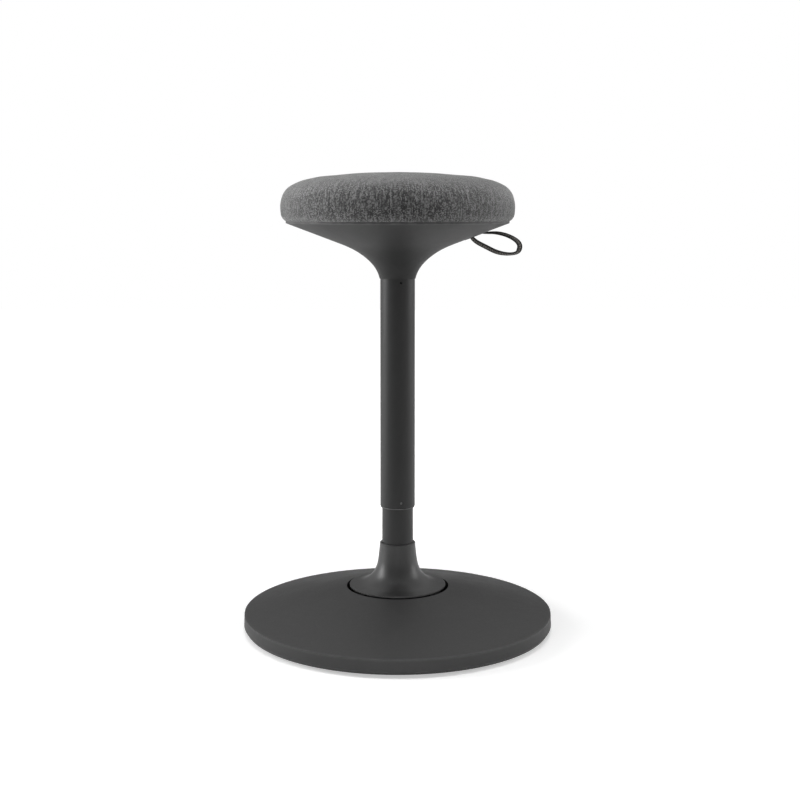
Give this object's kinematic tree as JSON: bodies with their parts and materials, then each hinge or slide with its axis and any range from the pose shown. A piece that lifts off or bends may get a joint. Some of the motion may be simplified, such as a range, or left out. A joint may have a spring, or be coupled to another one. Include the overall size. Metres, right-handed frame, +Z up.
{
  "type": "adjustable swivel stool",
  "caption": "Round upholstered sit/stand stool on a gas-lift stem that swivels, rises and tilts in a heavy disc base, with a woven pull loop that frees the height.",
  "frame": {"origin": "middle of the foot ring's underside, on the floor", "axes": "+Z up along the stem, +X towards the pull loop, -Y to the front"},
  "size_m": [0.44, 0.44, 0.654],
  "materials": {
    "base_paint": "matte dark grey powder coat",
    "stem_paint": "matte dark grey powder coat",
    "cylinder_paint": "black enamel",
    "collar_plastic": "satin moulded plastic",
    "bowl_plastic": "fine matte moulded plastic",
    "bush_plastic": "plain black acetal",
    "cast_iron": "as cast, oiled",
    "zinc_steel": "zinc plated",
    "bright_steel": "ground and plated",
    "rubber": "matte black",
    "plywood": "raw plywood",
    "foam": "moulded foam",
    "seat_fabric": "dark grey melange weave",
    "loop_webbing": "woven tape"
  },
  "bodies": {
    "base": {"base_cover": "base_paint", "base_weight": "cast_iron", "base_plate": "zinc_steel", "foot_ring": "rubber", "cover_screws": "zinc_steel", "pivot_housing": "cast_iron", "housing_bolts": "zinc_steel"},
    "tilt_rubber": {"tilt_bush": "rubber"},
    "column": {"column_foot": "zinc_steel", "stem_washer": "zinc_steel", "stem_nut": "zinc_steel", "column_tube": "stem_paint", "floor_collar": "collar_plastic", "column_bush": "bush_plastic", "rod_plate": "zinc_steel", "lower_race": "bright_steel"},
    "ball_cage": {"bearing_cage": "bush_plastic", "bearing_balls": "bright_steel"},
    "rod": {"piston_rod": "bright_steel", "piston": "bush_plastic", "rod_clip": "bright_steel", "upper_race": "bright_steel", "rod_damper": "rubber"},
    "seat": {"gas_cylinder": "cylinder_paint", "outer_tube": "stem_paint", "guide_bush": "bush_plastic", "tube_lock_screw": "bright_steel", "seat_hub": "zinc_steel", "mount_plate": "cylinder_paint", "mount_screws": "zinc_steel", "pad_clips": "bush_plastic", "lever_bracket": "zinc_steel", "lever_pin": "bright_steel", "seat_bowl": "bowl_plastic", "loop_grommet": "bush_plastic", "seat_board": "plywood", "seat_foam": "foam", "seat_cover": "seat_fabric"},
    "lever": {"release_lever": "zinc_steel", "loop_clamp": "zinc_steel", "pull_loop": "loop_webbing"},
    "valve": {"valve_pin": "bright_steel"}
  },
  "joints": [
    {"name": "tilt_sideways", "type": "hinge", "parent": "base", "child": "tilt_rubber", "pos_m": [0, 0, 0.042], "axis": [0, 1, 0], "range_deg": [-6, 6], "stiffness_Nm_per_rad": 400, "deforming": ["tilt_bush"]},
    {"name": "tilt_fore_aft", "type": "hinge", "parent": "tilt_rubber", "child": "column", "pos_m": [0, 0, 0.042], "axis": [1, 0, 0], "range_deg": [-6, 6], "stiffness_Nm_per_rad": 400},
    {"name": "swivel", "type": "hinge", "parent": "column", "child": "rod", "pos_m": [0, 0, 0.084], "axis": [0, 0, 1], "continuous": true},
    {"name": "cage_roll", "type": "hinge", "parent": "column", "child": "ball_cage", "pos_m": [0, 0, 0.094], "axis": [0, 0, 1], "continuous": true},
    {"name": "height", "type": "slide", "parent": "rod", "child": "seat", "axis": [0, 0, 1], "range_m": [-0.049, 0.16]},
    {"name": "lever_pull", "type": "hinge", "parent": "seat", "child": "lever", "pos_m": [-0.03, 0, 0.577], "axis": [0, 1, 0], "range_deg": [0, 4.5], "stiffness_Nm_per_rad": 15, "springref_deg": -2.86},
    {"name": "valve_press", "type": "slide", "parent": "seat", "child": "valve", "axis": [0, 0, -1], "range_m": [0, 0.00236], "stiffness_N_per_m": 500}
  ],
  "couplings": [
    {"joint": "cage_roll", "follows": "swivel", "ratio": 0.5},
    {"joint": "valve_press", "follows": "lever_pull", "m_per_rad": 0.03}
  ]
}
